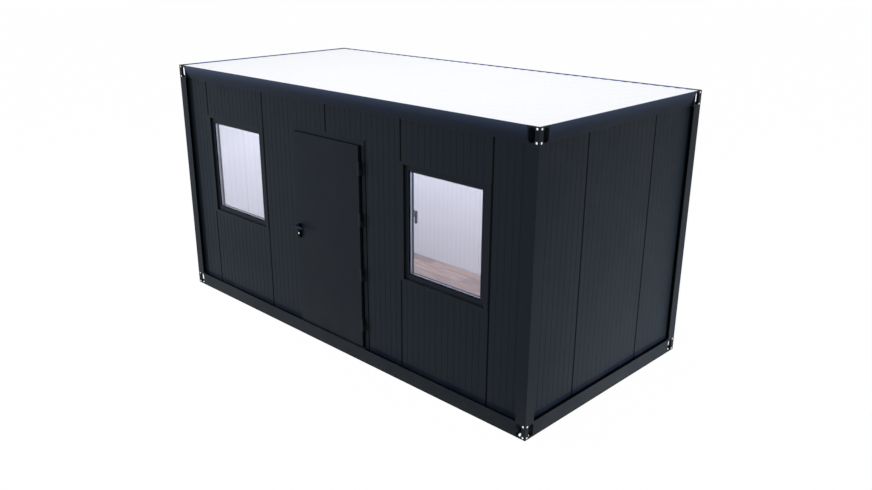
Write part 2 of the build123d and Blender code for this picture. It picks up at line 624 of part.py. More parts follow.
# Lever pair on one spindle
LEVER_OUT = LEAF_SETBACK - LEVER_STANDOFF
LEVER_IN = LEAF_BACK + LEVER_STANDOFF
with BuildPart() as door_lever:
    with BuildSketch(ELEVATION.offset(-LEVER_OUT)):
        with Locations((HANDLE_X, HANDLE_LEVEL)):
            Circle(SPINDLE_RADIUS)
    extrude(amount=LEVER_OUT - LEVER_IN)
    for arm_depth, neck_end in (
        (LEVER_OUT, LEAF_SETBACK - BORE_PLAY),
        (LEVER_IN, LEAF_BACK + BORE_PLAY),
    ):
        with BuildSketch(ELEVATION.offset(-arm_depth)):
            with Locations((HANDLE_X, HANDLE_LEVEL)):
                Circle(NECK_RADIUS)
        extrude(amount=arm_depth - neck_end)
        with BuildSketch(ELEVATION.offset(-arm_depth)):
            with Locations((HANDLE_X + (LEVER_LENGTH - LEVER_HEIGHT) / 2, HANDLE_LEVEL)):
                SlotOverall(LEVER_LENGTH, LEVER_HEIGHT)
        extrude(amount=LEVER_THICKNESS / 2, both=True)
    with BuildSketch(ELEVATION.offset(-LEVER_OUT)):
        with Locations((HANDLE_X, HANDLE_LEVEL)):
            Circle(LEVER_HUB_RADIUS)
    extrude(amount=LEVER_OUT - GUARD_FRONT + BORE_PLAY)
    arm_rims = door_lever.edges().filter_by(Axis.X).group_by(Axis.Y)
    chamfer(arm_rims[0] + arm_rims[-1], LEVER_BEVEL)
finish(door_lever, "door_lever")

# Floor: joists across on the beam ledges, one deck on top of them
JOIST_SPAN = 2 * (END_WALL_HALF - DECK_PLAY)
JOIST_STEP = (2 * FRONT_WALL_HALF - JOIST_WIDTH) / (JOIST_COUNT - 1)
with BuildPart() as floor_joists:
    with BuildSketch(Plane(origin=(0, -JOIST_SPAN / 2, 0), x_dir=(1, 0, 0), z_dir=(0, -1, 0))):
        for count in range(JOIST_COUNT):
            start = -FRONT_WALL_HALF + count * JOIST_STEP
            bar(start, PANEL_FOOT, start + JOIST_WIDTH, DECK_FOOT)
            bar(
                start + JOIST_WALL,
                PANEL_FOOT + JOIST_WALL,
                start + JOIST_WIDTH - JOIST_WALL,
                DECK_FOOT - JOIST_WALL,
                mode=Mode.SUBTRACT,
            )
    extrude(amount=-JOIST_SPAN)
finish(floor_joists, "floor_joists")

with BuildPart() as floor_deck:
    with BuildSketch(Plane.XY.offset(DECK_FOOT)):
        Rectangle(2 * (FRONT_WALL_HALF - DECK_PLAY), 2 * (END_WALL_HALF - DECK_PLAY))
    extrude(amount=DECK_THICKNESS)
finish(floor_deck, "floor_deck")

# Ceiling between the top beams, and the roof sheet with its low ribs, lying on the roof seat
with BuildPart() as ceiling_panel:
    with BuildSketch(Plane.XY.offset(TOP_FOOT)):
        Rectangle(FRONT_SPAN, END_SPAN)
    extrude(amount=CEILING_THICKNESS)
finish(ceiling_panel, "ceiling_panel")

ROOF_LENGTH = LENGTH - 2 * (FITTING_WALL + ROOF_PLAY)
ROOF_WIDTH = WIDTH - 2 * (FITTING_WALL + ROOF_PLAY)
RIB_PITCH = ROOF_LENGTH / ROOF_RIB_COUNT
RIB_FOOT = RIB_PITCH * ROOF_RIB_FOOT_SHARE / 2
RIB_TOP = RIB_PITCH * ROOF_RIB_TOP_SHARE / 2
SHEET_TOP = ROOF_SEAT + ROOF_SHEET
RIB_CREST = SHEET_TOP + ROOF_RIB_HEIGHT
roof_outline = [(-ROOF_LENGTH / 2, ROOF_SEAT), (-ROOF_LENGTH / 2, SHEET_TOP)]
for count in range(ROOF_RIB_COUNT):
    rib = -ROOF_LENGTH / 2 + count * RIB_PITCH + RIB_PITCH / 2
    roof_outline += [(rib - RIB_FOOT, SHEET_TOP), (rib - RIB_TOP, RIB_CREST)]
    roof_outline += [(rib + RIB_TOP, RIB_CREST), (rib + RIB_FOOT, SHEET_TOP)]
roof_outline += [(ROOF_LENGTH / 2, SHEET_TOP), (ROOF_LENGTH / 2, ROOF_SEAT)]
with BuildPart() as roof_sheet:
    with BuildSketch(Plane(origin=(0, -ROOF_WIDTH / 2, 0), x_dir=(1, 0, 0), z_dir=(0, -1, 0))):
        with BuildLine():
            Polyline(*roof_outline, close=True)
        make_face()
    extrude(amount=-ROOF_WIDTH)
finish(roof_sheet, "roof_sheet")
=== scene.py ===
# %% [markdown]
# # A portable site cabin
# The cabin is a welded steel frame filled with grooved sandwich panels. Its solids come from a
# CAD model, so this lesson does not draw them again: it loads them as a fixed frame, gives every
# surface its finish, adds the small pieces that CAD leaves out, and lights the result.

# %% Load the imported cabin
import math

import bmesh
import bpy
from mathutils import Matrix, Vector


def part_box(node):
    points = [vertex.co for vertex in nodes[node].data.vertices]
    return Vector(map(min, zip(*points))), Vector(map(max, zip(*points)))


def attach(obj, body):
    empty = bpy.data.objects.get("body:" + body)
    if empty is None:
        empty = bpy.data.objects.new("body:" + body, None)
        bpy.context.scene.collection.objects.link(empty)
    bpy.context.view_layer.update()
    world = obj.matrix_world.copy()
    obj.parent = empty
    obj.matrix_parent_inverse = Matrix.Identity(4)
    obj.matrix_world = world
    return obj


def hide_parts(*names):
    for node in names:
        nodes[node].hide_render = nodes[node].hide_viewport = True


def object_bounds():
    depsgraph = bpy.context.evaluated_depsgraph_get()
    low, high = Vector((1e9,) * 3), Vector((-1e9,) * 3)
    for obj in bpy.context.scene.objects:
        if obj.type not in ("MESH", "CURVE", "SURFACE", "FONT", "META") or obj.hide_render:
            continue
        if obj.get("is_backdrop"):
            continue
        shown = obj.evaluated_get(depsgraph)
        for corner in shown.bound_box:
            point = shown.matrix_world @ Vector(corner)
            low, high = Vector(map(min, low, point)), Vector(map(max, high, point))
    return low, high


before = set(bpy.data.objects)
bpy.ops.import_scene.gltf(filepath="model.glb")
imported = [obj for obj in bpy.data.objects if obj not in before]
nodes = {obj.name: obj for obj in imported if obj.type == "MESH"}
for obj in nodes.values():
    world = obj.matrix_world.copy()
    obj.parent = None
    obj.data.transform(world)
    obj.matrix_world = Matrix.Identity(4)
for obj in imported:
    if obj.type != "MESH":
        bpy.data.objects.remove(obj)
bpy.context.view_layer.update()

# %% [markdown]
# ## The camera
# The photograph looks down on the corner where the long front meets the right end, from a little
# above roof height. The place and the angle were worked out from the corners of the frame, so
# they are typed in as numbers. The small shift stands for a picture that was cropped a little off
# centre; turning the camera instead would tilt the upright edges.

# %% Place the camera
camera_data = bpy.data.cameras.new("camera")
camera = bpy.data.objects.new("camera", camera_data)
bpy.context.scene.collection.objects.link(camera)
bpy.context.scene.camera = camera
camera.location = (6.0730, -6.0113, 3.7854)
camera.rotation_euler = (math.radians(70.119), math.radians(0.0985), math.radians(45.155))
camera_data.sensor_width = 36.0
camera_data.sensor_fit = "HORIZONTAL"
camera_data.lens = 34.512
camera_data.shift_x = 0.02368
camera_data.shift_y = 0.00955
bpy.context.scene.view_settings.view_transform = "Standard"
print("camera at", tuple(camera.location), "lens", camera_data.lens)

# %% [markdown]
# ## Helpers for shader nodes
# Every finish below is a tree of shader nodes. Writing each node by hand takes four lines, so one
# helper adds a node, types in its plain values and links its sockets. A second helper starts a
# node group: an effect that several finishes share, with named inputs and outputs.

# %% Node helpers
def place(tree, kind, wiring=None, **settings):
    """Add one node; a socket in the wiring is linked, any other value is typed in."""
    node = tree.nodes.new(kind)
    for name, value in settings.items():
        setattr(node, name, value)
    for socket, value in (wiring or {}).items():
        if isinstance(value, bpy.types.NodeSocket):
            tree.links.new(value, node.inputs[socket])
        else:
            node.inputs[socket].default_value = value
    return node


def math_node(tree, operation, first, second=0.0):
    """One Math node; gives its output socket."""
    return place(tree, "ShaderNodeMath", {0: first, 1: second}, operation=operation).outputs[0]


def ramp(tree, value, low, high, to_low=0.0, to_high=1.0):
    """Map a value from one span to another and hold it there; gives the output socket."""
    wiring = {0: value, 1: low, 2: high, 3: to_low, 4: to_high}
    return place(tree, "ShaderNodeMapRange", wiring, clamp=True).outputs[0]


def mix_colour(tree, factor, first, second, blend="MIX"):
    """One colour Mix node; gives its output socket."""
    wiring = {0: factor, 6: first, 7: second}
    return place(tree, "ShaderNodeMix", wiring, data_type="RGBA", blend_type=blend).outputs[2]


def new_group(name, inputs, outputs):
    """Start a shader node group; gives the group, its input sockets and its output sockets."""
    tree = bpy.data.node_groups.new(name, "ShaderNodeTree")
    for socket, kind, value in inputs:
        made = tree.interface.new_socket(socket, in_out="INPUT", socket_type=kind)
        made.default_value = value
    for socket, kind in outputs:
        tree.interface.new_socket(socket, in_out="OUTPUT", socket_type=kind)
    entry = tree.nodes.new("NodeGroupInput")
    leave = tree.nodes.new("NodeGroupOutput")
    return tree, entry.outputs, leave.inputs


def object_place(tree):
    """Where a point lies on the cabin in metres, which moves with a piece that swings."""
    return place(tree, "ShaderNodeTexCoord").outputs["Object"]


FLOAT = "NodeSocketFloat"
COLOUR = "NodeSocketColor"

# %% [markdown]
# ## Shared effect: cloudy coat
# A sprayed coat is never one flat colour: its film is a little thicker in some places. A soft
# noise shifts the colour and the gloss by a few percent. The same mask feeds both, so that a
# duller place is also a little lighter, as it is on a real wall.

# %% Cloudy coat group
cloudy_coat, g_in, g_out = new_group(
    "Cloudy coat",
    [("Colour", COLOUR, (0.5, 0.5, 0.5, 1)), ("Scale", FLOAT, 3.0), ("Amount", FLOAT, 0.2),
     ("Gloss Low", FLOAT, 0.35), ("Gloss High", FLOAT, 0.5)],
    [("Colour", COLOUR), ("Roughness", FLOAT)],
)
tree = cloudy_coat
cloud = place(tree, "ShaderNodeTexNoise", {"Vector": object_place(tree), "Scale": g_in["Scale"],
                                           "Detail": 5.0, "Roughness": 0.6})
cloud_mask = ramp(tree, cloud.outputs[0], 0.3, 0.7)
lighter = mix_colour(tree, 1.0, g_in["Colour"], (1.45, 1.42, 1.4, 1), "MULTIPLY")
cloud_share = math_node(tree, "MULTIPLY", cloud_mask, g_in["Amount"])
tree.links.new(mix_colour(tree, cloud_share, g_in["Colour"], lighter), g_out["Colour"])
gloss_span = math_node(tree, "SUBTRACT", g_in["Gloss High"], g_in["Gloss Low"])
gloss_step = math_node(tree, "MULTIPLY", cloud_mask, gloss_span)
tree.links.new(math_node(tree, "ADD", g_in["Gloss Low"], gloss_step), g_out["Roughness"])
print("group:", tree.name, len(tree.nodes), "nodes")

# %% [markdown]
# ## Shared effect: worn edges
# Paint is thin on a sharp edge and rubs off there first. A Bevel node bends the normal near an
# edge, so the difference between it and the true normal marks the edges without any extra mesh.
# Noise breaks the line up, because wear is never even.

# %% Worn edges group
worn_edges, g_in, g_out = new_group(
    "Worn edges",
    [("Width", FLOAT, 0.003), ("Amount", FLOAT, 0.5), ("Patch Scale", FLOAT, 9.0)],
    [("Mask", FLOAT)],
)
tree = worn_edges
bent = place(tree, "ShaderNodeBevel", {"Radius": g_in["Width"]}, samples=4).outputs[0]
flat = place(tree, "ShaderNodeNewGeometry").outputs["Normal"]
likeness = place(tree, "ShaderNodeVectorMath", {0: bent, 1: flat}, operation="DOT_PRODUCT")
edge = ramp(tree, likeness.outputs["Value"], 0.99, 0.86)
patch = place(tree, "ShaderNodeTexNoise", {"Vector": object_place(tree), "Detail": 6.0,
                                           "Scale": g_in["Patch Scale"], "Roughness": 0.65})
rubbed = math_node(tree, "MULTIPLY", edge, ramp(tree, patch.outputs[0], 0.42, 0.62))
tree.links.new(math_node(tree, "MULTIPLY", rubbed, g_in["Amount"]), g_out["Mask"])
print("group:", tree.name, len(tree.nodes), "nodes")

# %% [markdown]
# ## Shared effect: painted shade in the corners
# Where two surfaces meet, less light reaches, so these places are painted darker: painted shade.
# Ambient Occlusion measures how closed in a point is, from the geometry alone, so the mask stays
# put from every side. Two inputs say how open an unshaded place is and how closed a fully shaded
# one. A short reach with wide limits finds the shallow rolled grooves, which are painted lighter
# to lift their shade, as painted light; a long reach finds the joints and corners.

# %% Corner shade group
corner_shade, g_in, g_out = new_group(
    "Painted corner shade",
    [("Reach", FLOAT, 0.05), ("Amount", FLOAT, 0.5),
     ("Open", FLOAT, 0.62), ("Closed", FLOAT, 0.22)],
    [("Mask", FLOAT)],
)
tree = corner_shade
closed_in = place(tree, "ShaderNodeAmbientOcclusion", {"Distance": g_in["Reach"]}, samples=6)
corner = ramp(tree, closed_in.outputs["AO"], g_in["Open"], g_in["Closed"])
tree.links.new(math_node(tree, "MULTIPLY", corner, g_in["Amount"]), g_out["Mask"])
print("group:", tree.name, len(tree.nodes), "nodes")

# %% [markdown]
# ## Shared effect: settled dust
# A cabin that stands on a site gets a pale film near the ground and on ledges. One mask falls off
# with height, another picks surfaces that look up, and noise makes both patchy.

# %% Settled dust group
settled_dust, g_in, g_out = new_group(
    "Settled dust",
    [("Height", FLOAT, 0.5), ("Amount", FLOAT, 0.1), ("Ledges", FLOAT, 0.2)],
    [("Mask", FLOAT)],
)
tree = settled_dust
where = object_place(tree)
height = place(tree, "ShaderNodeSeparateXYZ", {0: where}).outputs["Z"]
low_share = ramp(tree, math_node(tree, "DIVIDE", height, g_in["Height"]), 1.0, 0.0)
low_film = math_node(tree, "MULTIPLY", low_share, g_in["Amount"])
facing = place(tree, "ShaderNodeNewGeometry").outputs["Normal"]
looks_up = ramp(tree, place(tree, "ShaderNodeSeparateXYZ", {0: facing}).outputs["Z"], 0.6, 0.95)
ledge_film = math_node(tree, "MULTIPLY", looks_up, g_in["Ledges"])
drift = place(tree, "ShaderNodeTexNoise", {"Vector": where, "Scale": 5.0, "Detail": 7.0})
patchy = ramp(tree, drift.outputs[0], 0.3, 0.75)
film = math_node(tree, "MAXIMUM", low_film, ledge_film)
tree.links.new(math_node(tree, "MULTIPLY", film, patchy), g_out["Mask"])
print("group:", tree.name, len(tree.nodes), "nodes")

# %% [markdown]
# ## Shared effect: sprayed texture
# Sprayed paint dries with a fine pebbled skin, called orange peel. It is far too small to model,
# and as bump height it only breaks up the highlights.

# %% Sprayed texture group
sprayed_texture, g_in, g_out = new_group(
    "Sprayed texture", [("Grain", FLOAT, 420.0)], [("Height", FLOAT)]
)
tree = sprayed_texture
pebbles = place(tree, "ShaderNodeTexNoise", {"Vector": object_place(tree), "Scale": g_in["Grain"],
                                             "Detail": 2.0, "Roughness": 0.5})
tree.links.new(pebbles.outputs[0], g_out["Height"])
print("group:", tree.name, len(tree.nodes), "nodes")

# %% [markdown]
# ## Shared effect: painted light at the top
# The bowed face of a rail looks up at the sky at its top and turns away from it lower down, so the
# coat is painted lighter at the top and darker below: painted light. The mask is 1 at one height
# and falls to 0 at another; the power bends the fall, so that most of it lies near the top.

# %% Painted top light group
TOP_LIGHT_FALL = 2.6
painted_top_light, g_in, g_out = new_group(
    "Painted top light", [("Low", FLOAT, 0.0), ("High", FLOAT, 1.0)], [("Mask", FLOAT)]
)
tree = painted_top_light
height = place(tree, "ShaderNodeSeparateXYZ", {0: object_place(tree)}).outputs["Z"]
rise = ramp(tree, height, g_in["Low"], g_in["High"])
tree.links.new(math_node(tree, "POWER", rise, TOP_LIGHT_FALL), g_out["Mask"])
print("group:", tree.name, len(tree.nodes), "nodes")

# %% [markdown]
# ## Shared effect: sheet lines
# The inner skin of the panels and the ceiling is rolled with faint lines, like the outer one but
# much shallower. They run along X on the long walls and along Y on the ends, so the normal picks
# the axis. At less than half a millimetre they only need a mask, for the colour and the bump.

# %% Sheet lines group
sheet_lines, g_in, g_out = new_group("Sheet lines", [("Pitch", FLOAT, 0.0727)], [("Mask", FLOAT)])
tree = sheet_lines
where = place(tree, "ShaderNodeSeparateXYZ", {0: object_place(tree)})
facing = place(tree, "ShaderNodeSeparateXYZ",
               {0: place(tree, "ShaderNodeNewGeometry").outputs["Normal"]})
on_end = math_node(tree, "ABSOLUTE", facing.outputs["X"])
on_long = math_node(tree, "SUBTRACT", 1.0, on_end)
along = math_node(tree, "ADD", math_node(tree, "MULTIPLY", where.outputs["X"], on_long),
                  math_node(tree, "MULTIPLY", where.outputs["Y"], on_end))
from_line = math_node(tree, "PINGPONG", math_node(tree, "DIVIDE", along, g_in["Pitch"]), 0.5)
tree.links.new(ramp(tree, from_line, 0.03, 0.10, 1.0, 0.0), g_out["Mask"])
print("group:", tree.name, len(tree.nodes), "nodes")

# %% [markdown]
# ## The dark coat
# The frame, the outer skin of the panels, the door and the window profiles share one anthracite
# coat, each with its own values. The groups feed Base Color, Roughness and Normal of a Principled
# BSDF; the gloss level is the same all over, so it is typed on the shader itself. The jamb beside
# the hinges and the foot channel are painted darker than the rest, as painted shade, so each gets
# a finish of its own.

# %% Dark coat helpers
def add_group(tree, group, wiring=None):
    """Place a shared effect in the tree of a finish, with that finish's own values."""
    return place(tree, "ShaderNodeGroup", wiring, node_tree=group)


def new_material(name):
    """A new node material; gives the material, its tree and its Principled BSDF."""
    material = bpy.data.materials.new(name)
    material.use_nodes = True
    return material, material.node_tree, material.node_tree.nodes["Principled BSDF"]


def bend_normal(tree, shader, height, strength, depth):
    """Let a height bend the normal of a finish."""
    wiring = {"Height": height, "Strength": strength, "Distance": depth}
    tree.links.new(place(tree, "ShaderNodeBump", wiring).outputs[0], shader.inputs["Normal"])


# %% Dark coat materials
# Painted shade: the colour that closed-in corners and joints are darkened towards.
SHADE_BLACK = (0.0008, 0.0009, 0.0012, 1)
SITE_DUST = (0.21, 0.2, 0.19, 1)
GROOVE_LIGHT = (0.026, 0.035, 0.048, 1)
RUBBED_PAINT = (0.10, 0.105, 0.11, 1)
DUST_HEIGHT = 0.6
PEEL_DEPTH = 0.0004


def painted(name, colour, gloss, level, wear, dust=0.05, ledges=0.1, shade_amount=1.0,
            worn=RUBBED_PAINT, peel=0.05, top_light=None, groove_lift=0.0):
    """A sprayed coat with cloudy colour, worn edges, painted shade in corners, a film of dust, and
    painted light at the top and in the grooves where asked.
    """
    material, tree, shader = new_material(name)
    tone = (*colour, 1)
    # Painted light: the coat turns lighter towards the top, where the bowed face looks up at the
    # sky.
    if top_light:
        bright, bottom, top = top_light
        top_lit = add_group(tree, painted_top_light, {"Low": bottom, "High": top})
        tone = mix_colour(tree, top_lit.outputs["Mask"], tone, (*bright, 1))
    coat = add_group(tree, cloudy_coat, {"Colour": tone, "Scale": 2.5, "Amount": 0.25,
                                         "Gloss Low": gloss[0], "Gloss High": gloss[1]})
    rubbed = add_group(tree, worn_edges, {"Width": 0.003, "Amount": wear})
    # Painted shade: corners and joints darken towards black where the geometry closes in.
    corner_shading = add_group(tree, corner_shade, {"Reach": 0.06, "Amount": shade_amount})
    film = add_group(tree, settled_dust, {"Height": DUST_HEIGHT, "Amount": dust,
                                          "Ledges": ledges})
    dusty = mix_colour(tree, film.outputs["Mask"], coat.outputs["Colour"], SITE_DUST)
    # Painted light: the rolled grooves are painted lighter, to lift the shade that falls in them.
    if groove_lift:
        groove_light = add_group(tree, corner_shade, {"Reach": 0.009, "Amount": groove_lift, "Open": 0.95,
                                                "Closed": 0.7})
        dusty = mix_colour(tree, groove_light.outputs["Mask"], dusty, GROOVE_LIGHT)
    edged = mix_colour(tree, rubbed.outputs["Mask"], dusty, worn)
    shaded = mix_colour(tree, corner_shading.outputs["Mask"], edged, SHADE_BLACK)
    tree.links.new(shaded, shader.inputs["Base Color"])
    dull = math_node(tree, "MAXIMUM", coat.outputs["Roughness"],
                     ramp(tree, corner_shading.outputs["Mask"], 0.0, 0.6, 0.0, 0.9))
    tree.links.new(dull, shader.inputs["Roughness"])
    skin = add_group(tree, sprayed_texture, {"Grain": 420.0})
    bend_normal(tree, shader, skin.outputs["Height"], peel, PEEL_DEPTH)
    shader.inputs["Specular IOR Level"].default_value = level
    return material


rail_low, rail_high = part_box("top_beam_front")
frame_paint = painted("frame paint", (0.0100, 0.0140, 0.0192), (0.45, 0.58), level=0.07, wear=0.3,
                      dust=0.05, ledges=0.12)
# The rail gets painted light at its top.
rail_paint = painted("rail paint", (0.0137, 0.0180, 0.0274), (0.5, 0.62), level=0.04, wear=0.1,
                     dust=0.0, top_light=((0.0450, 0.0620, 0.1030), rail_low.z, rail_high.z))
# Painted reflection: the inner rail face above the roof is painted bright blue for the sky it
# mirrors.
rail_sky_reflection = painted("rail painted sky", (0.040, 0.105, 0.360), (0.5, 0.62), level=0.05, dust=0.0,
                      wear=0.0, shade_amount=0.2)
panel_paint = painted("panel paint", (0.0108, 0.0150, 0.0206), (0.45, 0.6), level=0.07, wear=0.1,
                      dust=0.04, groove_lift=1.0)
door_paint = painted("door paint", (0.0094, 0.0129, 0.0176), (0.45, 0.58), level=0.07, wear=0.2)
window_profile = painted("window profile", (0.0100, 0.0136, 0.0186), (0.4, 0.5), level=0.07,
                         wear=0.1, dust=0.0, peel=0.03)
hinge_paint = painted("hinge paint", (0.0125, 0.0160, 0.0215), (0.35, 0.45), level=0.15, wear=0.3,
                      shade_amount=0.4, worn=(0.05, 0.05, 0.055, 1))
# Painted shade: the jamb beside the hinges is painted darker for the shadow of the leaf.
jamb_shade = painted("jamb painted shade", (0.0058, 0.0080, 0.0112), (0.45, 0.58), level=0.05, wear=0.2)
# Painted shade: the foot channel is painted darker than the panels for the shade at the foot of
# the wall.
channel_shade = painted("channel painted shade", (0.0054, 0.0082, 0.0168), (0.45, 0.6), level=0.05,
                        wear=0.1)
sill_coat = painted("sill coat", (0.0085, 0.0110, 0.0150), (0.45, 0.6), level=0.1, wear=0.5)
print("dark coats:", frame_paint.name, rail_paint.name, panel_paint.name, door_paint.name)

# %% [markdown]
# ## The white coats
# The inside of the panels, the ceiling and the roof sheet are coated white. They use the same
# groups with pale values, and the painted shade in the corners is a thin warm grey instead of
# black.

# %% White coat materials
PALE_DUST = (0.45, 0.43, 0.4, 1)
SHADE_WARM_GREY = (0.32, 0.31, 0.3, 1)
LINE_SHADE = (0.45, 0.46, 0.5, 1)


def pale(name, colour, gloss, shade_amount=0.25, ledges=0.0, lined=0.0):
    """A pale sheet-metal coat with faint clouds, painted shade in corners, dust and rolled lines.
    """
    material, tree, shader = new_material(name)
    coat = add_group(tree, cloudy_coat, {"Colour": (*colour, 1), "Scale": 1.6, "Amount": 0.05,
                                         "Gloss Low": gloss[0], "Gloss High": gloss[1]})
    # Painted shade: corners darken towards a warm grey where the geometry closes in.
    corner_shading = add_group(tree, corner_shade, {"Reach": 0.08, "Amount": shade_amount})
    film = add_group(tree, settled_dust, {"Height": DUST_HEIGHT, "Amount": 0.0,
                                          "Ledges": ledges})
    dusty = mix_colour(tree, film.outputs["Mask"], coat.outputs["Colour"], PALE_DUST)
    shaded = mix_colour(tree, corner_shading.outputs["Mask"], dusty, SHADE_WARM_GREY)
    line = math_node(tree, "MULTIPLY", add_group(tree, sheet_lines).outputs["Mask"], lined)
    ruled = mix_colour(tree, line, shaded, LINE_SHADE)
    tree.links.new(ruled, shader.inputs["Base Color"])
    tree.links.new(coat.outputs["Roughness"], shader.inputs["Roughness"])
    skin = add_group(tree, sprayed_texture, {"Grain": 300.0})
    height = math_node(tree, "SUBTRACT", skin.outputs["Height"], line)
    bend_normal(tree, shader, height, 0.012, PEEL_DEPTH)
    shader.inputs["Specular IOR Level"].default_value = 0.3
    return material


panel_inside = pale("panel inside", (0.78, 0.79, 0.85), (0.4, 0.55), lined=0.2)
ceiling_white = pale("ceiling white", (0.80, 0.80, 0.83), (0.5, 0.6), lined=0.10)
roof_white = pale("roof white", (0.88, 0.87, 0.85), (0.4, 0.55), shade_amount=0.06, ledges=0.01)
print("white coats:", panel_inside.name, ceiling_white.name, roof_white.name)

# %% [markdown]
# ## Bare metals, plastics and rubber
# The lock, the joists and the bolts are bare or plated metal: Metallic is 1 and the colour is what
# the metal reflects. The handle is black plastic and the seals are rubber, both dielectric. The
# cloudy coat gives each of them its slight unevenness.

# %% Metal, plastic and rubber materials
def plain_solid(name, colour, gloss, metallic=0.0, cloud=0.2, cloud_scale=30.0, level=0.5):
    """A metal or plastic with an uneven surface."""
    material, tree, shader = new_material(name)
    coat = add_group(tree, cloudy_coat, {"Colour": (*colour, 1), "Scale": cloud_scale,
                                         "Amount": cloud, "Gloss Low": gloss[0],
                                         "Gloss High": gloss[1]})
    tree.links.new(coat.outputs["Colour"], shader.inputs["Base Color"])
    tree.links.new(coat.outputs["Roughness"], shader.inputs["Roughness"])
    skin = add_group(tree, sprayed_texture, {"Grain": 600.0})
    bend_normal(tree, shader, skin.outputs["Height"], 0.05, 0.0003)
    shader.inputs["Metallic"].default_value = metallic
    shader.inputs["Specular IOR Level"].default_value = level
    return material


lock_metal = plain_solid("lock metal", (0.86, 0.85, 0.83), (0.25, 0.38), metallic=1.0)
bolt_zinc = plain_solid("bolt zinc", (0.90, 0.91, 0.93), (0.3, 0.45), metallic=1.0, cloud=0.05)
joist_metal = plain_solid("joist metal", (0.48, 0.50, 0.52), (0.35, 0.6), metallic=1.0,
                          cloud=0.4, cloud_scale=14.0)
spacer_metal = plain_solid("spacer metal", (0.50, 0.51, 0.62), (0.3, 0.4), metallic=1.0,
                           cloud=0.05)
handle_black = plain_solid("handle black", (0.0009, 0.0010, 0.0013), (0.5, 0.6), level=0.03)
# Painted highlight: the lever is tinted blue for the sky it reflects.
lever_painted_highlight = plain_solid("lever painted highlight", (0.0095, 0.0130, 0.0330), (0.34, 0.42), level=0.08)
grip_grey = plain_solid("grip grey", (0.055, 0.056, 0.062), (0.45, 0.55), level=0.15)
rubber = plain_solid("rubber", (0.006, 0.006, 0.006), (0.6, 0.75), level=0.25)
print("solids:", lock_metal.name, joist_metal.name, handle_black.name, rubber.name)

# %% [markdown]
# ## The floor boards
# The deck is covered with brown boards that run along the cabin. Two nested steps make them: the
# row number comes from the width, each row is pushed along by its own random amount, and the
# board number in the row then gives every board its own shade. A stretched noise is the grain.

# %% Floor board material
BOARD_WIDTH = 0.19
BOARD_LENGTH = 1.25
DARK_BOARD = (0.130, 0.094, 0.083, 1)
LIGHT_BOARD = (0.540, 0.400, 0.345, 1)
GRAIN_BROWN = (0.140, 0.098, 0.084, 1)
SEAM_BROWN = (0.05, 0.04, 0.035, 1)
floor_wood, tree, shader = new_material("floor wood")
axes = place(tree, "ShaderNodeSeparateXYZ", {0: object_place(tree)})
across = math_node(tree, "DIVIDE", axes.outputs["Y"], BOARD_WIDTH)
row = math_node(tree, "FLOOR", across)
push = place(tree, "ShaderNodeTexWhiteNoise", {"W": row}, noise_dimensions="1D").outputs["Value"]
along = math_node(tree, "ADD", math_node(tree, "DIVIDE", axes.outputs["X"], BOARD_LENGTH), push)
number = place(tree, "ShaderNodeCombineXYZ", {0: row, 1: math_node(tree, "FLOOR", along)})
shade = place(tree, "ShaderNodeTexWhiteNoise", {"Vector": number.outputs[0]},
              noise_dimensions="2D").outputs["Value"]
stretch = place(tree, "ShaderNodeMapping", {"Vector": object_place(tree),
                                            "Scale": (1.2, 22.0, 1.0)})
fibre = place(tree, "ShaderNodeTexNoise", {"Vector": stretch.outputs[0], "Scale": 4.0,
                                           "Detail": 8.0, "Roughness": 0.65})
plain_board = mix_colour(tree, shade, DARK_BOARD, LIGHT_BOARD)
grained = mix_colour(tree, ramp(tree, fibre.outputs[0], 0.35, 0.7), plain_board, GRAIN_BROWN)
side_gap = ramp(tree, math_node(tree, "PINGPONG", across, 0.5), 0.0, 0.012)
end_gap = ramp(tree, math_node(tree, "PINGPONG", along, 0.5), 0.0, 0.002)
seam = math_node(tree, "MULTIPLY", side_gap, end_gap)
tree.links.new(mix_colour(tree, seam, SEAM_BROWN, grained), shader.inputs["Base Color"])
tree.links.new(ramp(tree, fibre.outputs[0], 0.3, 0.7, 0.35, 0.5), shader.inputs["Roughness"])
bend_normal(tree, shader, seam, 0.4, 0.001)
print("floor boards:", len(tree.nodes), "nodes")

# %% [markdown]
# ## The glass
# Window glass is clear and almost colourless, with a faint blue-grey from its edge. Transmission
# is 1 and the roughness is near zero; a very slow noise in the roughness stands for the film that
# rain leaves on it. The colour of the glass body is set on the shader, because it is the same
# all over. The index is lower than that of bare glass and the reflection is bluish, as on panes
# with a thin coating against glare: the room behind stays clear.

# %% Glass material
clear_glass, tree, shader = new_material("clear glass")
film_noise = place(tree, "ShaderNodeTexNoise", {"Vector": object_place(tree), "Scale": 2.0,
                                                "Detail": 3.0})
film = ramp(tree, film_noise.outputs[0], 0.35, 0.75, 0.0, 0.03)
tree.links.new(film, shader.inputs["Roughness"])
shader.inputs["Base Color"].default_value = (0.96, 0.965, 0.98, 1)
shader.inputs["Transmission Weight"].default_value = 1.0
shader.inputs["IOR"].default_value = 1.3
shader.inputs["Specular Tint"].default_value = (0.52, 0.62, 1.0, 1)
print("glass:", clear_glass.name)

# %% [markdown]
# ## Dress the solids
# Each solid takes its finish by name. The sandwich panels need two: the outer skin is dark and
# the inner skin white. The top rails need two as well: the narrow face that looks in over the roof
# is painted bright blue, a painted reflection of the sky. Such faces are told apart by the way
# they
# look, so no mesh is touched: only the material number of a face changes.

# %% Give every solid its finish
def dress(name, *materials):
    """Replace the finishes of one solid."""
    mesh = nodes[name].data
    mesh.materials.clear()
    for material in materials:
        mesh.materials.append(material)
    for face in mesh.polygons:
        face.material_index = 0


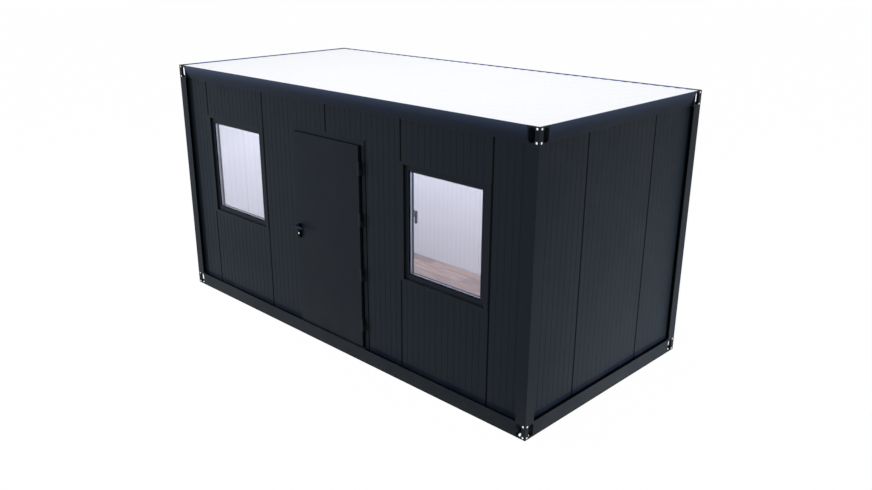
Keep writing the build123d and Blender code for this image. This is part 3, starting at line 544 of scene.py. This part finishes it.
DRESS = {
    frame_paint: [name for name in nodes if name.startswith(("bottom_", "top_corner", "post_"))],
    door_paint: ["door_leaf", "door_jamb_latch_side", "door_head"],
    jamb_shade: ["door_jamb_hinge_side"],
    window_profile: [name for name in nodes if name.endswith(("_casing", "_frame", "_sash"))],
    hinge_paint: ["jamb_hinge_halves", "leaf_hinge_halves"],
    handle_black: ["handle_plates"],
    lever_painted_highlight: ["door_lever"],
    lock_metal: ["lock_cylinder"],
    grip_grey: ["window_handles"],
    sill_coat: ["door_sill"],
    joist_metal: ["floor_joists"],
    floor_wood: ["floor_deck"],
    ceiling_white: ["ceiling_panel"],
    roof_white: ["roof_sheet"],
    clear_glass: ["window_left_glass", "window_right_glass"],
}
for material, names in DRESS.items():
    for name in names:
        dress(name, material)
print("dressed", sum(len(names) for names in DRESS.values()), "solids by name")

# %% Tell inner faces from outer ones
TO_BACK = Vector((0, 1, 0))
INWARD = {"back": -TO_BACK, "left": Vector((1, 0, 0)), "right": Vector((-1, 0, 0))}
roof_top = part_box("roof_sheet")[1].z
for name in [name for name in nodes if name.startswith("top_beam")]:
    dress(name, rail_paint, rail_sky_reflection)
    inward = INWARD.get(name.split("_")[-1], TO_BACK)
    mesh = nodes[name].data
    for face in mesh.polygons:
        top = max(mesh.vertices[index].co.z for index in face.vertices)
        if face.normal.dot(inward) > 0.7 and top > roof_top:
            face.material_index = 1

for name in [name for name in nodes if name.endswith("_panels")]:
    dress(name, panel_paint, panel_inside)
    inward = INWARD.get(name.split("_")[0], TO_BACK)
    inner = [face for face in nodes[name].data.polygons if face.normal.dot(inward) > 0.9]
    for face in inner:
        face.material_index = 1
    print(name, "has", len(inner), "inner faces")

# %% [markdown]
# ## The sealed glass units
# A double-glazed unit is two panes held apart by a metal spacer, with a dark seal round the edge.
# From outside the spacer shows as a bright line along the edge of the glass. The CAD solid is one
# slab, so it is replaced by the real parts, all cut from the box of that slab. Three helpers come
# first: one turns a mesh in the making into a piece, the others draw rings and boxes.

# %% Helpers for pieces
def add_piece(name, work, material, body):
    """Turn a mesh in the making into an object and let it ride on a body."""
    mesh = bpy.data.meshes.new(name)
    work.to_mesh(mesh)
    work.free()
    piece = bpy.data.objects.new(name, mesh)
    bpy.context.scene.collection.objects.link(piece)
    mesh.materials.append(material)
    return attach(piece, body)


def add_ring(name, low, high, wall, material):
    """An upright rectangular ring in the box between two corners, with a wall of even width."""
    work = bmesh.new()
    loops = []
    for y in (low.y, high.y):
        for inset in (0.0, wall):
            corners = [(low.x + inset, low.z + inset), (high.x - inset, low.z + inset),
                       (high.x - inset, high.z - inset), (low.x + inset, high.z - inset)]
            loops.append([work.verts.new((x, y, z)) for x, z in corners])
    front_out, front_in, back_out, back_in = loops
    for near, far in ((front_out, front_in), (front_in, back_in), (back_in, back_out),
                      (back_out, front_out)):
        for step in range(4):
            after = (step + 1) % 4
            work.faces.new((near[step], near[after], far[after], far[step]))
    bmesh.ops.recalc_face_normals(work, faces=work.faces)
    return add_piece(name, work, material, "cabin")


def add_box(work, low, high, edge):
    """Add a box with softened edges to a mesh in the making."""
    made = bmesh.ops.create_cube(work, size=1.0)["verts"]
    size = Vector(high) - Vector(low)
    middle = (Vector(high) + Vector(low)) / 2
    for vert in made:
        vert.co = Vector(a * b for a, b in zip(vert.co, size)) + middle
    edges = list({line for vert in made for line in vert.link_edges})
    bmesh.ops.bevel(work, geom=edges, offset=edge, segments=2, affect="EDGES", profile=0.5)


# %% Build the glass units
PANE = 0.004
PANE_EDGE = 0.0006
SPACER_WALL = 0.011
SEAL_WALL = 0.004
for side in ("left", "right"):
    low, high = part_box(f"window_{side}_glass")
    work = bmesh.new()
    add_box(work, low, (high.x, low.y + PANE, high.z), PANE_EDGE)
    add_box(work, (low.x, high.y - PANE, low.z), high, PANE_EDGE)
    panes = add_piece(f"window_{side}_panes", work, clear_glass, "cabin")
    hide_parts(f"window_{side}_glass")
    inset = Vector((SEAL_WALL, PANE, SEAL_WALL))
    spacer = add_ring(f"window_{side}_spacer", low + inset, high - inset, SPACER_WALL,
                      spacer_metal)
    rim = Vector((0.0, PANE, 0.0))
    seal = add_ring(f"window_{side}_edge_seal", low + rim, high - rim, SEAL_WALL, rubber)
    print("glass unit", side, "from", tuple(low), "to", tuple(high))

# %% [markdown]
# ## Glazing gaskets
# A black rubber gasket closes the narrow gap between the window frame and the glass. It is a flat
# ring just behind the lip of the frame.

# %% Build the gaskets
GASKET_WALL = 0.006
GASKET_LAP = 0.004
GASKET_FRONT = 0.0019
GASKET_BACK = 0.0002
for side in ("left", "right"):
    glass_low, glass_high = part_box(f"window_{side}_glass")
    low = glass_low - Vector((GASKET_LAP, GASKET_FRONT, GASKET_LAP))
    high = Vector((glass_high.x + GASKET_LAP, glass_low.y - GASKET_BACK,
                   glass_high.z + GASKET_LAP))
    gasket = add_ring(f"window_{side}_gasket", low, high, GASKET_WALL, rubber)
print("gaskets of", GASKET_WALL * 1000, "mm")

# %% [markdown]
# ## The door seal
# The leaf closes against a soft bulb of rubber that runs up one jamb, across the head and down the
# other. A curve with a round bevel would do, but a mesh tube keeps the square corners of a mitred
# strip: one ring of points at each corner, joined by faces.

# %% Helper for strips
STRIP_SIDES = 10


def add_strip(name, path, half_width, half_depth, material, body):
    """A strip of rounded section along a path in the plane of the front wall."""
    work = bmesh.new()
    rings = []
    for index, point in enumerate(path):
        before = path[max(index - 1, 0)]
        after = path[min(index + 1, len(path) - 1)]
        into = (point - before).normalized() if index else (after - point).normalized()
        out = (after - point).normalized() if index < len(path) - 1 else into
        way = (into + out).normalized()
        side = TO_BACK.cross(way)
        stretch = 1.0 / max(side.dot(TO_BACK.cross(into)), 0.5)
        ring = []
        for step in range(STRIP_SIDES):
            angle = 2 * math.pi * step / STRIP_SIDES
            offset = side * (math.cos(angle) * half_width * stretch)
            offset += TO_BACK * (math.sin(angle) * half_depth)
            ring.append(work.verts.new(point + offset))
        rings.append(ring)
    for near, far in zip(rings, rings[1:]):
        for step in range(STRIP_SIDES):
            after = (step + 1) % STRIP_SIDES
            work.faces.new((near[step], near[after], far[after], far[step]))
    work.faces.new(rings[0])
    work.faces.new(reversed(rings[-1]))
    bmesh.ops.recalc_face_normals(work, faces=work.faces)
    for face in work.faces:
        face.smooth = len(face.verts) == 4
    return add_piece(name, work, material, body)


# %% Build the door seal
leaf_low, leaf_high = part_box("door_leaf")
SEAL_LAP = 0.006
SEAL_FOOT = 0.005
SEAL_GAP = 0.007
SEAL_HALF = 0.005
SEAL_PLAY = 0.0003
seal_y = leaf_high.y + SEAL_GAP / 2
seal_left, seal_right = leaf_low.x + SEAL_LAP, leaf_high.x - SEAL_LAP
seal_foot, seal_top = leaf_low.z + SEAL_FOOT, leaf_high.z - SEAL_LAP
seal_path = [Vector((x, seal_y, z)) for x, z in (
    (seal_left, seal_foot), (seal_left, seal_top),
    (seal_right, seal_top), (seal_right, seal_foot))]
door_seal = add_strip("door_seal", seal_path, SEAL_HALF, SEAL_GAP / 2 - SEAL_PLAY, rubber, "cabin")
print("door seal at y", round(seal_y, 4))

# %% [markdown]
# ## The foot channel
# The panels stand in a folded channel. Its outer lip is painted darker than the panels, as painted
# shade, and shows as a dark band with a sharp upper edge along the foot of every wall. A stripe of
# paint would give the colour alone, so each length is a thin strip on the skin of the panels, from
# post to post, with the door left out.

# %% Measure the walls
CORNERS = ("front_left", "front_right", "back_left", "back_right")
post_low = {corner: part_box(f"post_{corner}")[0] for corner in CORNERS}
post_high = {corner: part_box(f"post_{corner}")[1] for corner in CORNERS}
latch_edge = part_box("door_jamb_latch_side")[0].x
jamb_low, jamb_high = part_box("door_jamb_hinge_side")
front_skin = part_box("door_side_panels")[0].y
back_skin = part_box("back_wall_panels")[1].y
left_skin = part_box("left_end_panels")[0].x
right_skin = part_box("right_end_panels")[1].x
beam_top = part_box("bottom_beam_front")[1].z
print("outer skins at x", left_skin, right_skin, "and y", front_skin, back_skin)

# %% Build the foot channel
CHANNEL_RISE = 0.042
CHANNEL_DROP = 0.05
CHANNEL_SHEET = 0.0012
BEAD_HALF = 0.0045
channel_face = front_skin - CHANNEL_SHEET
lengths = [
    (post_high["front_left"].x, channel_face, latch_edge, front_skin),
    (jamb_high.x + 2 * BEAD_HALF, channel_face, post_low["front_right"].x, front_skin),
    (post_high["back_left"].x, back_skin, post_low["back_right"].x, back_skin + CHANNEL_SHEET),
    (left_skin - CHANNEL_SHEET, post_high["front_left"].y, left_skin, post_low["back_left"].y),
    (right_skin, post_high["front_right"].y, right_skin + CHANNEL_SHEET, post_low["back_right"].y),
]
channel_foot, channel_top = beam_top - CHANNEL_DROP, beam_top + CHANNEL_RISE
work = bmesh.new()
for x_low, y_low, x_high, y_high in lengths:
    add_box(work, (x_low, y_low, channel_foot), (x_high, y_high, channel_top), CHANNEL_SHEET / 3)
foot_channel = add_piece("foot_channel", work, channel_shade, "cabin")
print("foot channel in", len(lengths), "lengths, up to z", round(channel_top, 3))

# %% [markdown]
# ## The bead beside the hinges
# A black bead runs along the edge of the door frame against the panel on the hinge side: a dark
# strip put where shade falls in the corner between the two, as painted shade. It is the same kind
# of strip as the door seal, half sunk into that corner.

# %% Build the bead
BEAD_LAP = 0.0005
BEAD_SINK = 0.0004
head_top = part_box("door_head")[1].z
bead_x = jamb_high.x + BEAD_HALF - BEAD_LAP
bead_path = [Vector((bead_x, front_skin, z)) for z in (channel_foot, head_top)]
# Painted shade: a black strip in the corner beside the hinge-side jamb.
jamb_shade_bead = add_strip("jamb_shade_bead", bead_path, BEAD_HALF, front_skin - jamb_low.y - BEAD_SINK,
                      handle_black, "cabin")
print("bead of", round(head_top - beam_top, 3), "m beside the hinges")

# %% [markdown]
# ## The joint beads
# The gap between two panels is closed with black sealant, smoothed flat over both rims, so every
# joint reads as one sharp dark line. The places of the joints are found from the solids: a welded
# copy of each panel mesh is walked along its edges, one panel at a time, and two panels whose
# outer skins end close to each other share a joint. A joint above a window and one below it are
# one line, so the bead runs on beside the casing.

# %% Find the joints
WELD = 0.00005
WIDEST_JOINT = 0.02


def panel_reaches(names, across, along, skin):
    """How far the outer skin of every panel reaches along its wall, with its foot and top."""
    reaches = []
    for name in names:
        work = bmesh.new()
        work.from_mesh(nodes[name].data)
        work.transform(nodes[name].matrix_world)
        bmesh.ops.remove_doubles(work, verts=work.verts, dist=WELD)
        waiting = set(work.verts)
        while waiting:
            queue, outer = [waiting.pop()], []
            while queue:
                vert = queue.pop()
                if abs(vert.co[across] - skin) < WELD:
                    outer.append(vert.co.copy())
                near = {line.other_vert(vert) for line in vert.link_edges} & waiting
                waiting -= near
                queue.extend(near)
            spots, heights = [point[along] for point in outer], [point.z for point in outer]
            if outer:
                reaches.append((min(spots), max(spots), min(heights), max(heights)))
        work.free()
    return sorted(reaches)


FRONT_PANELS = ("front_end_panels", "door_side_panels", "door_header_panels",
                "window_apron_panels", "window_header_panels")
X, Y = 0, 1
WALLS = [(FRONT_PANELS, Y, front_skin, -1), (("back_wall_panels",), Y, back_skin, 1),
         (("left_end_panels",), X, left_skin, -1), (("right_end_panels",), X, right_skin, 1)]
joints = {}
for names, across, skin, outward in WALLS:
    reaches = panel_reaches(names, across, 1 - across, skin)
    for first in reaches:
        for second in reaches:
            gap = second[0] - first[1]
            foot, top = max(first[2], second[2]), min(first[3], second[3])
            if 0 < gap < WIDEST_JOINT and top > foot:
                spot = (across, outward, round(first[1] + gap / 2, 4))
                _, known_foot, known_top = joints.get(spot, (skin, foot, top))
                joints[spot] = (skin, min(foot, known_foot), max(top, known_top))
    print(names[0].split("_")[0], "wall:", len(reaches), "panels;", len(joints), "joints so far")

# %% Build the joint beads
JOINT_HALF = 0.0085
JOINT_RISE = 0.0015
work = bmesh.new()
for (across, outward, middle), (skin, foot, top) in joints.items():
    low, high = Vector((0, 0, max(foot, channel_foot))), Vector((0, 0, top))
    low[1 - across], high[1 - across] = middle - JOINT_HALF, middle + JOINT_HALF
    low[across], high[across] = sorted((skin, skin + outward * JOINT_RISE))
    add_box(work, low, high, JOINT_RISE / 3)
joint_beads = add_piece("joint_beads", work, handle_black, "cabin")

# %% [markdown]
# ## Bolts in the corner fittings
# Two zinc-plated bolts sit in hexagon seats beside every slot of the corner fittings, and show as
# bright dots in the photograph. A forged hexagon head has its corners turned off in a cone, so it
# is built from rings of points: two six-sided ones, then a round one where the cone ends.

# %% Helpers for turned heads
TURNS = 24
UPWARD = Vector((0, 0, 1))


def round_ring(work, centre, axis, size, level, six_sided=False):
    """A ring of points about an axis, round or with six flat sides; one corner points up."""
    across = axis.cross(UPWARD)
    points = []
    for step in range(TURNS):
        angle = 2 * math.pi * step / TURNS
        part = angle % (math.pi / 3) - math.pi / 6
        reach = size * math.cos(math.pi / 6) / math.cos(part) if six_sided else size
        flat = UPWARD * math.cos(angle) * reach + across * math.sin(angle) * reach
        points.append(work.verts.new(centre + flat + axis * level))
    return points


def add_rings(work, rings):
    """Join rings of points into one closed solid."""
    for first, second in zip(rings, rings[1:]):
        for step in range(TURNS):
            after = (step + 1) % TURNS
            work.faces.new((first[step], first[after], second[after], second[step]))
    work.faces.new(reversed(rings[0]))
    work.faces.new(rings[-1])


def add_head(work, foot, axis, radius, height, shape):
    """One turned head; each step of its shape gives the radius, the level and six sides or not."""
    add_rings(work, [round_ring(work, foot, axis, radius * share, height * level, six)
                     for share, level, six in shape])


def add_bolt(work, foot, axis, radius, height):
    """A hexagon head with a turned cone and a shallow dish on top."""
    add_head(work, foot, axis, radius, height, (
        (1.0, 0.0, True), (1.0, 0.7, True), (0.86, 1.0, False), (0.62, 1.0, False),
        (0.55, 0.88, False)))


def add_screw(work, foot, axis, radius, height):
    """A low round head with a hexagon socket."""
    add_head(work, foot, axis, radius, height, (
        (1.0, 0.0, False), (1.0, 0.5, False), (0.8, 1.0, False), (0.5, 1.0, True),
        (0.5, 0.3, True)))


def heads_piece(name, add, places, radius, height, material, body):
    """One piece made of many heads; each place is (foot point, outward direction)."""
    work = bmesh.new()
    for centre, outward in places:
        add(work, Vector(centre), Vector(outward), radius, height)
    bmesh.ops.recalc_face_normals(work, faces=work.faces)
    piece = add_piece(name, work, material, body)
    print(name, "has", len(places), "heads")
    return piece


# %% Build the bolts
BOLT_RADIUS = 0.0104
BOLT_HEIGHT = 0.0037
SEAT_DEPTH = 0.004
SEAT_EDGE = 0.026
SEAT_RIM = 0.018
bolt_places = []
for node_name in ("bottom_corner_fittings", "top_corner_fittings"):
    low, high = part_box(node_name)
    for x_side in (-1, 1):
        for y_side in (-1, 1):
            for z in (low.z + SEAT_RIM, high.z - SEAT_RIM):
                x_face = high.x if x_side > 0 else low.x
                y_face = high.y if y_side > 0 else low.y
                front = (x_face - x_side * SEAT_EDGE, y_face - y_side * SEAT_DEPTH, z)
                end = (x_face - x_side * SEAT_DEPTH, y_face - y_side * SEAT_EDGE, z)
                bolt_places.append((front, (0, y_side, 0)))
                bolt_places.append((end, (x_side, 0, 0)))
heads_piece("fitting_bolts", add_bolt, bolt_places, BOLT_RADIUS, BOLT_HEIGHT, bolt_zinc, "cabin")

# %% [markdown]
# ## Screws of the hinges and of the inner handle plate
# Each hinge flag lies in the gap, on the edge of the leaf or of the jamb, and is held by two
# screws; the thin inner plate of the handle has one at each end. The places follow from the boxes
# of the solids: the two flags lie the same way from the pin, so one face gives the other.

# %% Build the hinge screws
KNUCKLE_RADIUS = 0.010
HINGE_PLATE = 0.004
HINGE_SHARES = (0.12, 0.38, 0.65, 0.895)
SCREW_INSET = 0.012
SCREW_STEPS = (0.016, 0.046)
SCREW_RADIUS = 0.0045
SCREW_HEIGHT = 0.0015
hinge_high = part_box("leaf_hinge_halves")[1]
screw_y = hinge_high.y - SCREW_INSET
leaf_face = leaf_high.x + HINGE_PLATE
jamb_face = leaf_face + 2 * (hinge_high.x - KNUCKLE_RADIUS - leaf_face)
leaf_screws = []
jamb_screws = []
for share in HINGE_SHARES:
    level = leaf_low.z + share * (leaf_high.z - leaf_low.z)
    for step in SCREW_STEPS:
        leaf_screws.append(((leaf_face, screw_y, level + step), (1, 0, 0)))
        jamb_screws.append(((jamb_face, screw_y, level - step), (-1, 0, 0)))
for name, places, body in (("leaf_hinge_screws", leaf_screws, "door"),
                           ("jamb_hinge_screws", jamb_screws, "cabin")):
    heads_piece(name, add_screw, places, SCREW_RADIUS, SCREW_HEIGHT, hinge_paint, body)

# %% Build the plate screws
PLATE_END = 0.011
PLATE_SCREW_RADIUS = 0.0040
PLATE_SCREW_HEIGHT = 0.0014
plate_low, plate_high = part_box("handle_plates")
plate_x = (plate_low.x + plate_high.x) / 2
plate_screws = [((plate_x, plate_high.y, z), (0, 1, 0))
                for z in (plate_low.z + PLATE_END, plate_high.z - PLATE_END)]
heads_piece("plate_screws", add_screw, plate_screws, PLATE_SCREW_RADIUS, PLATE_SCREW_HEIGHT,
            lock_metal, "door")

# %% [markdown]
# ## The plug of the lock
# The bright dot under the lever is the end of the lock cylinder. Its plug stands a little proud
# and has an upright keyway. The rings run from the rim of the plug in to the outline of the keyway
# and down into it, and the floor of the keyway is painted black: painted shade for the depth of
# the slot.

# %% Build the lock plugs
PLUG_RADIUS = 0.0066
PLUG_HEIGHT = 0.0012
KEYWAY_SQUEEZE = 0.72


def add_plug(work, foot, axis, radius, height):
    """A round plug with a slot-shaped keyway; its floor gets the second finish, black as painted
    shade.
    """
    across = axis.cross(UPWARD)
    rings = [round_ring(work, foot, axis, radius * share, height * level)
             for share, level in ((1.0, 0.0), (1.0, 0.6), (0.92, 1.0), (0.7, 1.0), (0.7, 0.15))]
    for ring in rings[3:]:
        for vert in ring:
            sideways = (vert.co - foot).dot(across)
            vert.co -= across * sideways * KEYWAY_SQUEEZE
    add_rings(work, rings)
    work.faces.ensure_lookup_table()
    work.faces[-1].material_index = 1


lock_low, lock_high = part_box("lock_cylinder")
lock_middle = (lock_low + lock_high) / 2
plug_places = [((lock_middle.x, lock_low.y, lock_middle.z), (0, -1, 0)),
               ((lock_middle.x, lock_high.y, lock_middle.z), (0, 1, 0))]
lock_plugs = heads_piece("lock_plugs", add_plug, plug_places, PLUG_RADIUS, PLUG_HEIGHT, lock_metal,
                         "door")
# Painted shade: the black finish for the floor of the keyway.
lock_plugs.data.materials.append(handle_black)

# %% [markdown]
# ## The world and the floor
# The photograph has a plain white surround. The world is white where the camera, a reflection or
# a ray through glass looks at it, and dimmer as a source of light, so that the colours come out
# about as they are written. The floor is the same: white to look at, with a faint shadow, but a
# mid grey to light that bounces off it, because open ground throws back far less than the sky.

# %% The white world
WORLD_LIGHT = 0.5
SKY_TINT = (0.94, 1.0, 1.14, 1)
WHITE = (1, 1, 1, 1)


def seen_directly(tree):
    """1 for rays that show a picture of what they meet, 0 for rays that only carry light."""
    path = place(tree, "ShaderNodeLightPath")
    shown = math_node(tree, "MAXIMUM", path.outputs["Is Camera Ray"],
                      path.outputs["Is Glossy Ray"])
    return math_node(tree, "MAXIMUM", shown, path.outputs["Is Transmission Ray"])


world = bpy.data.worlds.new("white surround")
bpy.context.scene.world = world
world.use_nodes = True
tree = world.node_tree
background = tree.nodes["Background"]
sky = mix_colour(tree, seen_directly(tree), SKY_TINT, WHITE)
tree.links.new(sky, background.inputs["Color"])
tree.links.new(ramp(tree, seen_directly(tree), 0.0, 1.0, WORLD_LIGHT, 1.0),
               background.inputs["Strength"])
print("world at", WORLD_LIGHT, "as a source of light")

# %% The pale floor
FLOOR_GREY = (0.4, 0.4, 0.4, 1)
FLOOR_GLOW = 0.985
FLOOR_HALF = 60.0
FLOOR_LEVEL = -0.001
floor_white, tree, shader = new_material("floor white")
tone = mix_colour(tree, seen_directly(tree), FLOOR_GREY, WHITE)
tree.links.new(tone, shader.inputs["Base Color"])
shader.inputs["Roughness"].default_value = 1.0
shader.inputs["Specular IOR Level"].default_value = 0.0
glow = place(tree, "ShaderNodeEmission", {"Color": WHITE, "Strength": 1.0})
share = math_node(tree, "MULTIPLY", seen_directly(tree), FLOOR_GLOW)
blend_shader = place(tree, "ShaderNodeMixShader", {0: share, 1: shader.outputs[0],
                                                   2: glow.outputs[0]})
tree.links.new(blend_shader.outputs[0], tree.nodes["Material Output"].inputs["Surface"])

ground_mesh = bpy.data.meshes.new("ground")
corners = [(x * FLOOR_HALF, y * FLOOR_HALF, FLOOR_LEVEL)
           for x, y in ((-1, -1), (1, -1), (1, 1), (-1, 1))]
ground_mesh.from_pydata(corners, [], [(0, 1, 2, 3)])
ground_mesh.materials.append(floor_white)
ground = bpy.data.objects.new("ground", ground_mesh)
bpy.context.scene.collection.objects.link(ground)
ground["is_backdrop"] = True
print("floor of", 2 * FLOOR_HALF, "m, grey", FLOOR_GREY[0], "for light that bounces")

# %% [markdown]
# ## The lamps
# Daylight in the photograph is soft. It is strongest from above, so that the roof is nearly white
# and the bowed top rail darkens towards its lower edge. A small lamp far out to the left grazes
# the long wall: it throws the shadow of the corner post on the first panel, of the lever on the
# leaf and of the leaf on its jamb, and fades to the right. A low lamp in front of the right wall
# makes that wall brighter downwards and towards the back. A last lamp under the ceiling stands for
# the light that the white room sends back to the windows.

# %% Light the cabin
def area_lamp(name, place_at, aim, size, power, colour=(1, 1, 1)):
    """A soft rectangular lamp that no camera or mirror sees."""
    data = bpy.data.lights.new(name, "AREA")
    data.shape = "RECTANGLE"
    data.size, data.size_y = size
    data.energy = power
    data.color = colour
    lamp = bpy.data.objects.new(name, data)
    bpy.context.scene.collection.objects.link(lamp)
    lamp.location = place_at
    way = Vector(aim) - Vector(place_at)
    lamp.rotation_euler = way.to_track_quat("-Z", "Y").to_euler()
    lamp.visible_camera = False
    lamp.visible_glossy = False
    lamp.visible_transmission = False
    print(name, "of", power, "W")


area_lamp("sky lamp", (0.6, -0.3, 10.0), (0.6, -0.3, 0.0), (10.0, 8.0), 490.0)
area_lamp("side lamp", (-9.2, -5.2, 1.25), (0.0, -1.2, 1.2), (0.4, 0.4), 1000.0)
area_lamp("end lamp", (4.4, 0.5, 0.08), (2.5, 0.4, 0.6), (2.0, 0.2), 64.0)
area_lamp("room lamp", (0.0, 0.05, 2.44), (0.0, 0.05, 0.0), (4.2, 1.7), 68.0, (0.94, 0.95, 1.0))

# %% [markdown]
# ## Measure and finish
# The box of the dressed cabin is measured and printed. The dressed cabin must stay
# inside the box of the solids.

# %% Write the sizes and finish
low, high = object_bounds()
print("visual box", tuple(low), tuple(high))
